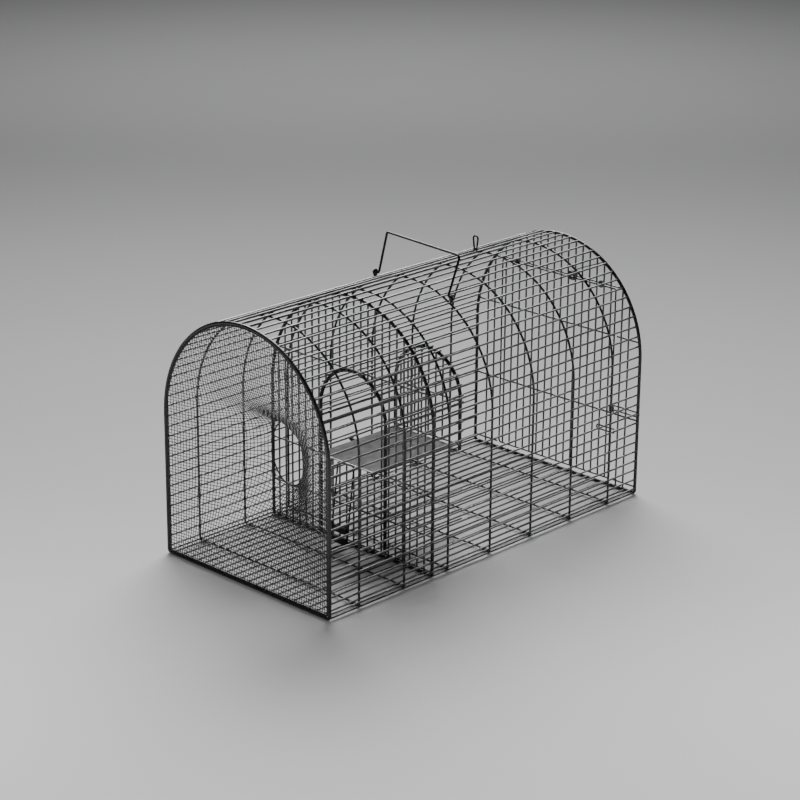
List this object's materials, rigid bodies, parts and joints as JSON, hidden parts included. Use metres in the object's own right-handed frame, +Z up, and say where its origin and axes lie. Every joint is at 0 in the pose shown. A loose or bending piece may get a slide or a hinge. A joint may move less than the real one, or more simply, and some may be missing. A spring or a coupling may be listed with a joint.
{
  "type": "multi-catch live rodent trap cage",
  "caption": "Arched wire cage trap with a mesh entry funnel, a counterweighted tilting plate, a top-hung rear door with a latch, and a folding carry handle.",
  "frame": {"origin": "middle of the cage's footprint, on the surface it stands on", "axes": "+Z up, +Y from the entry towards the rear door, +X to the right when looking along +Y"},
  "size_m": [0.2428, 0.4788, 0.3136],
  "materials": {
    "front_frame": "black coating, satin",
    "partition_frame": "black coating, satin",
    "rear_frame": "black coating, satin",
    "rib_1": "black coating, satin",
    "rib_2": "black coating, satin",
    "rib_3": "black coating, satin",
    "rib_4": "black coating, satin",
    "rib_5": "black coating, satin",
    "rib_6": "black coating, satin",
    "rib_7": "black coating, satin",
    "left_wall_wires": "black coating, satin",
    "right_wall_wires": "black coating, satin",
    "roof_wires": "black coating, satin",
    "floor_wires": "black coating, satin",
    "partition_grille": "black coating, satin",
    "throat_front_arch": "black coating, satin",
    "throat_rear_arch": "black coating, satin",
    "throat_left_wires": "black coating, satin",
    "throat_right_wires": "black coating, satin",
    "throat_roof_wires": "black coating, satin",
    "throat_rear_grille": "black coating, satin",
    "pivot_rod": "dull steel wire",
    "entry_funnel": "black coating, satin",
    "funnel_rim": "black coating, satin",
    "rear_cap_grille": "black coating, satin",
    "rear_left_grille": "black coating, satin",
    "rear_right_grille": "black coating, satin",
    "door_spring": "dull steel wire",
    "handle_eye_left": "black coating, satin",
    "handle_eye_right": "black coating, satin",
    "roof_eye": "black coating, smoother",
    "tilt_plate": "dark grey sheet, satin",
    "counterweight_arm": "black coating, satin",
    "counterweight_upper": "black, rough",
    "counterweight_lower": "black, rough",
    "rear_door": "black coating, satin",
    "door_clip_left": "dull steel wire",
    "door_clip_right": "dull steel wire",
    "door_pull": "black coating, smoother",
    "door_latch": "black coating, smoother",
    "carry_handle": "black coating, smoother"
  },
  "bodies": {
    "cage": {"front_frame": "front_frame", "partition_frame": "partition_frame", "rear_frame": "rear_frame", "rib_1": "rib_1", "rib_2": "rib_2", "rib_3": "rib_3", "rib_4": "rib_4", "rib_5": "rib_5", "rib_6": "rib_6", "rib_7": "rib_7", "left_wall_wires": "left_wall_wires", "right_wall_wires": "right_wall_wires", "roof_wires": "roof_wires", "floor_wires": "floor_wires", "partition_grille": "partition_grille", "throat_front_arch": "throat_front_arch", "throat_rear_arch": "throat_rear_arch", "throat_left_wires": "throat_left_wires", "throat_right_wires": "throat_right_wires", "throat_roof_wires": "throat_roof_wires", "throat_rear_grille": "throat_rear_grille", "pivot_rod": "pivot_rod", "entry_funnel": "entry_funnel", "funnel_rim": "funnel_rim", "rear_cap_grille": "rear_cap_grille", "rear_left_grille": "rear_left_grille", "rear_right_grille": "rear_right_grille", "door_spring": "door_spring", "handle_eye_left": "handle_eye_left", "handle_eye_right": "handle_eye_right", "roof_eye": "roof_eye"},
    "plate": {"tilt_plate": "tilt_plate", "counterweight_arm": "counterweight_arm", "counterweight_upper": "counterweight_upper", "counterweight_lower": "counterweight_lower"},
    "door": {"rear_door": "rear_door", "door_clip_left": "door_clip_left", "door_clip_right": "door_clip_right", "door_pull": "door_pull"},
    "latch": {"door_latch": "door_latch"},
    "handle": {"carry_handle": "carry_handle"}
  },
  "joints": [
    {"name": "plate_tilt", "type": "hinge", "parent": "cage", "child": "plate", "pos_m": [0, -0.034, 0.0908], "axis": [-1, 0, 0], "range_deg": [0, 50]},
    {"name": "door_swing", "type": "hinge", "parent": "cage", "child": "door", "pos_m": [0, 0.2357, 0.232], "axis": [1, 0, 0], "range_deg": [0, 95], "stiffness_Nm_per_rad": 0.01, "springref_deg": -28.65},
    {"name": "latch_swing", "type": "hinge", "parent": "door", "child": "latch", "pos_m": [0.0825, 0.2357, 0.09], "axis": [0, 0, 1], "range_deg": [0, 120]},
    {"name": "handle_swing", "type": "hinge", "parent": "cage", "child": "handle", "pos_m": [0.0045, -0.002, 0.2683], "axis": [0.9992, 0, -0.0401], "range_deg": [-56, 89]}
  ]
}
